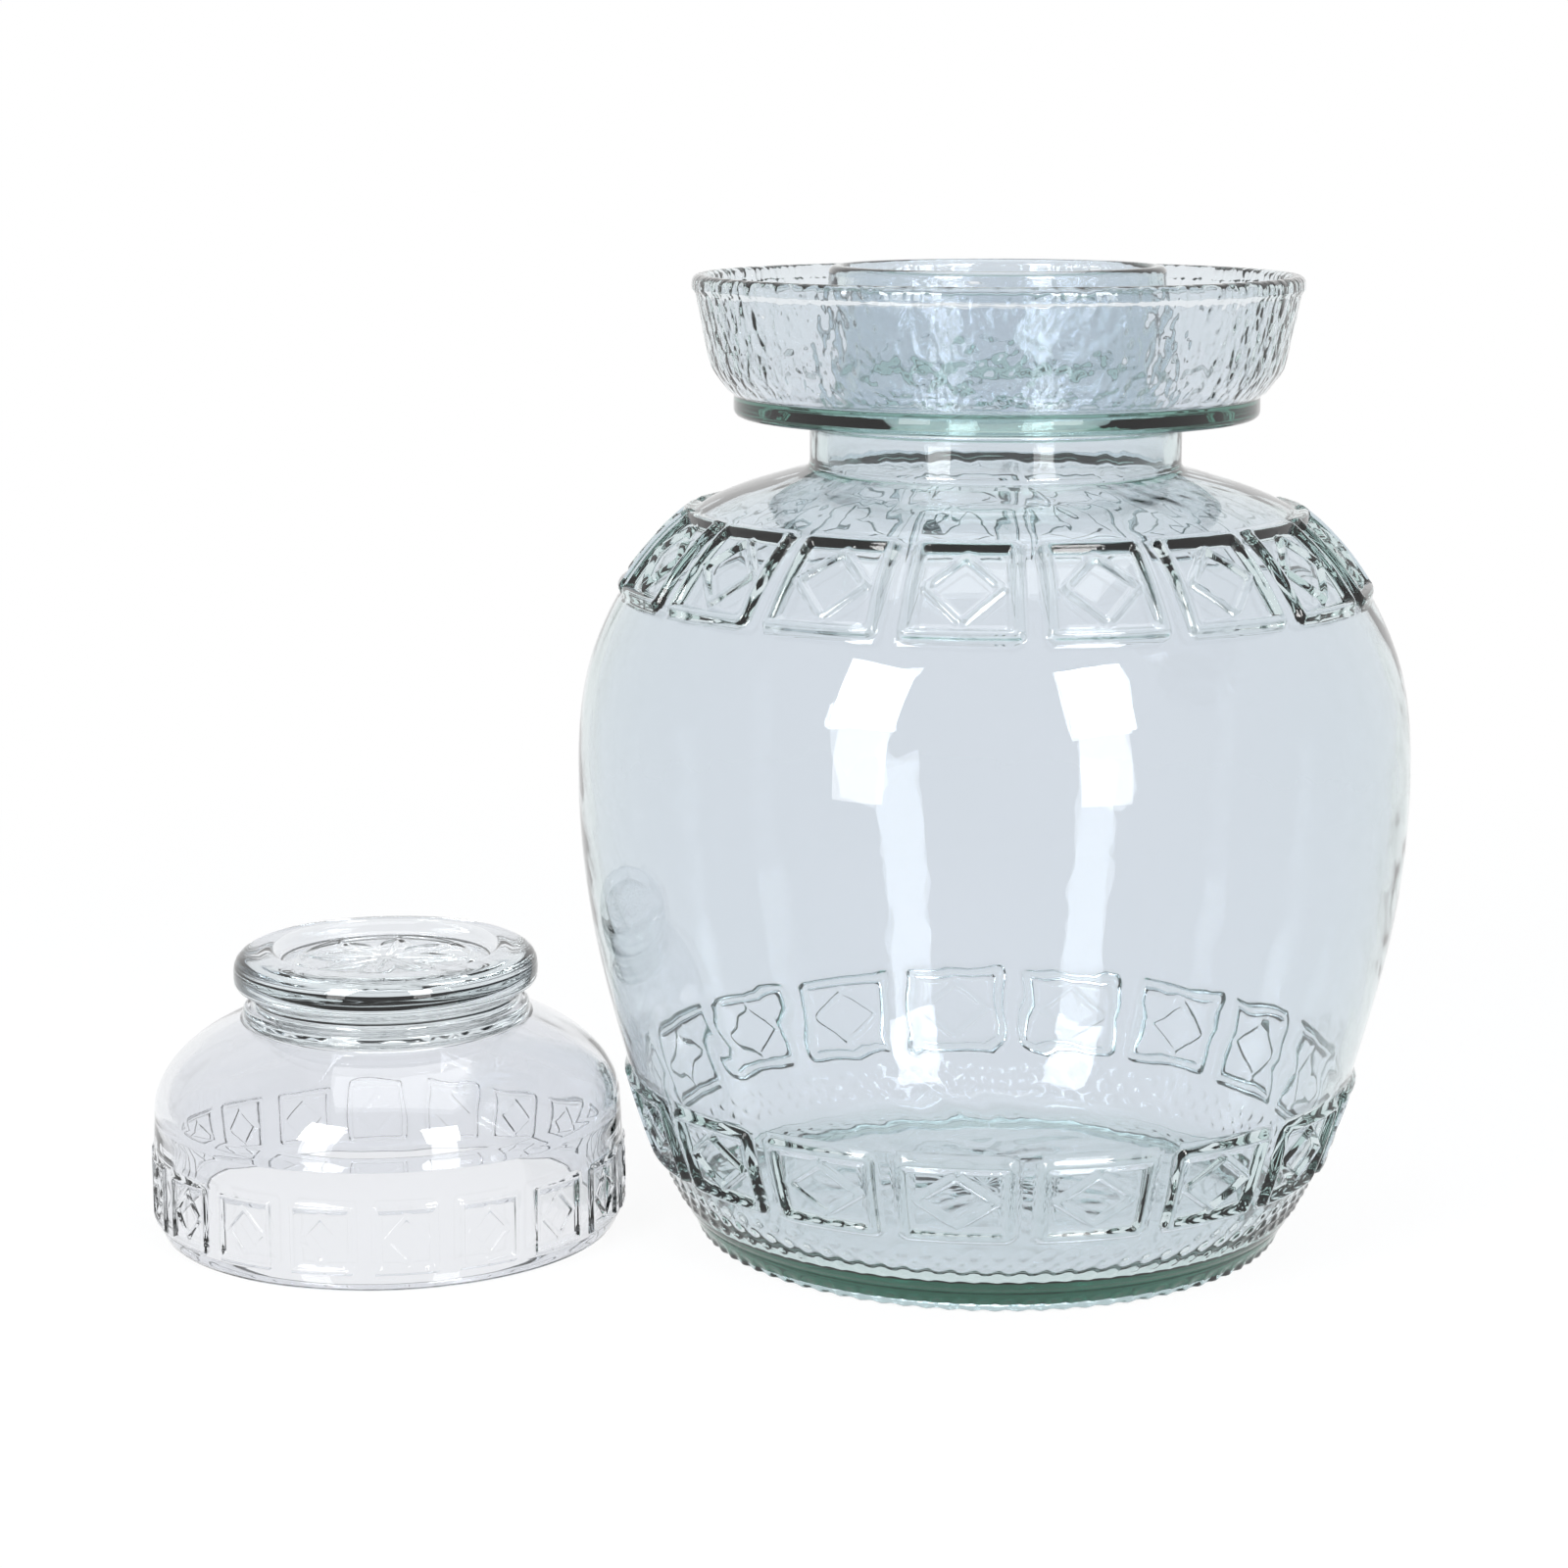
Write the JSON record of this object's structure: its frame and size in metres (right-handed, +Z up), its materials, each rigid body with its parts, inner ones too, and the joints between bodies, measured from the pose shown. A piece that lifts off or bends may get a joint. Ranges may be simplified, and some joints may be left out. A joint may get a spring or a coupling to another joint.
{
  "type": "glass pickle jar",
  "caption": "Wide-bellied clear glass pickle jar with a water-seal trough round its mouth, bands of framed diamond relief, and a domed glass lid standing beside it.",
  "frame": {"origin": "centre of the jar's base, on the floor it stands on", "axes": "+Z up along the jar's axis; the lid stands on the -X side of the jar, and -Y is the front"},
  "size_m": [0.3682, 0.2413, 0.282],
  "materials": {
    "jar_glass": "clear glass with a pale blue-green tint, fire-polished",
    "lid_glass": "clear colourless pressed glass"
  },
  "bodies": {
    "root": {"jar": "jar_glass", "lid": "lid_glass"}
  },
  "joints": []
}
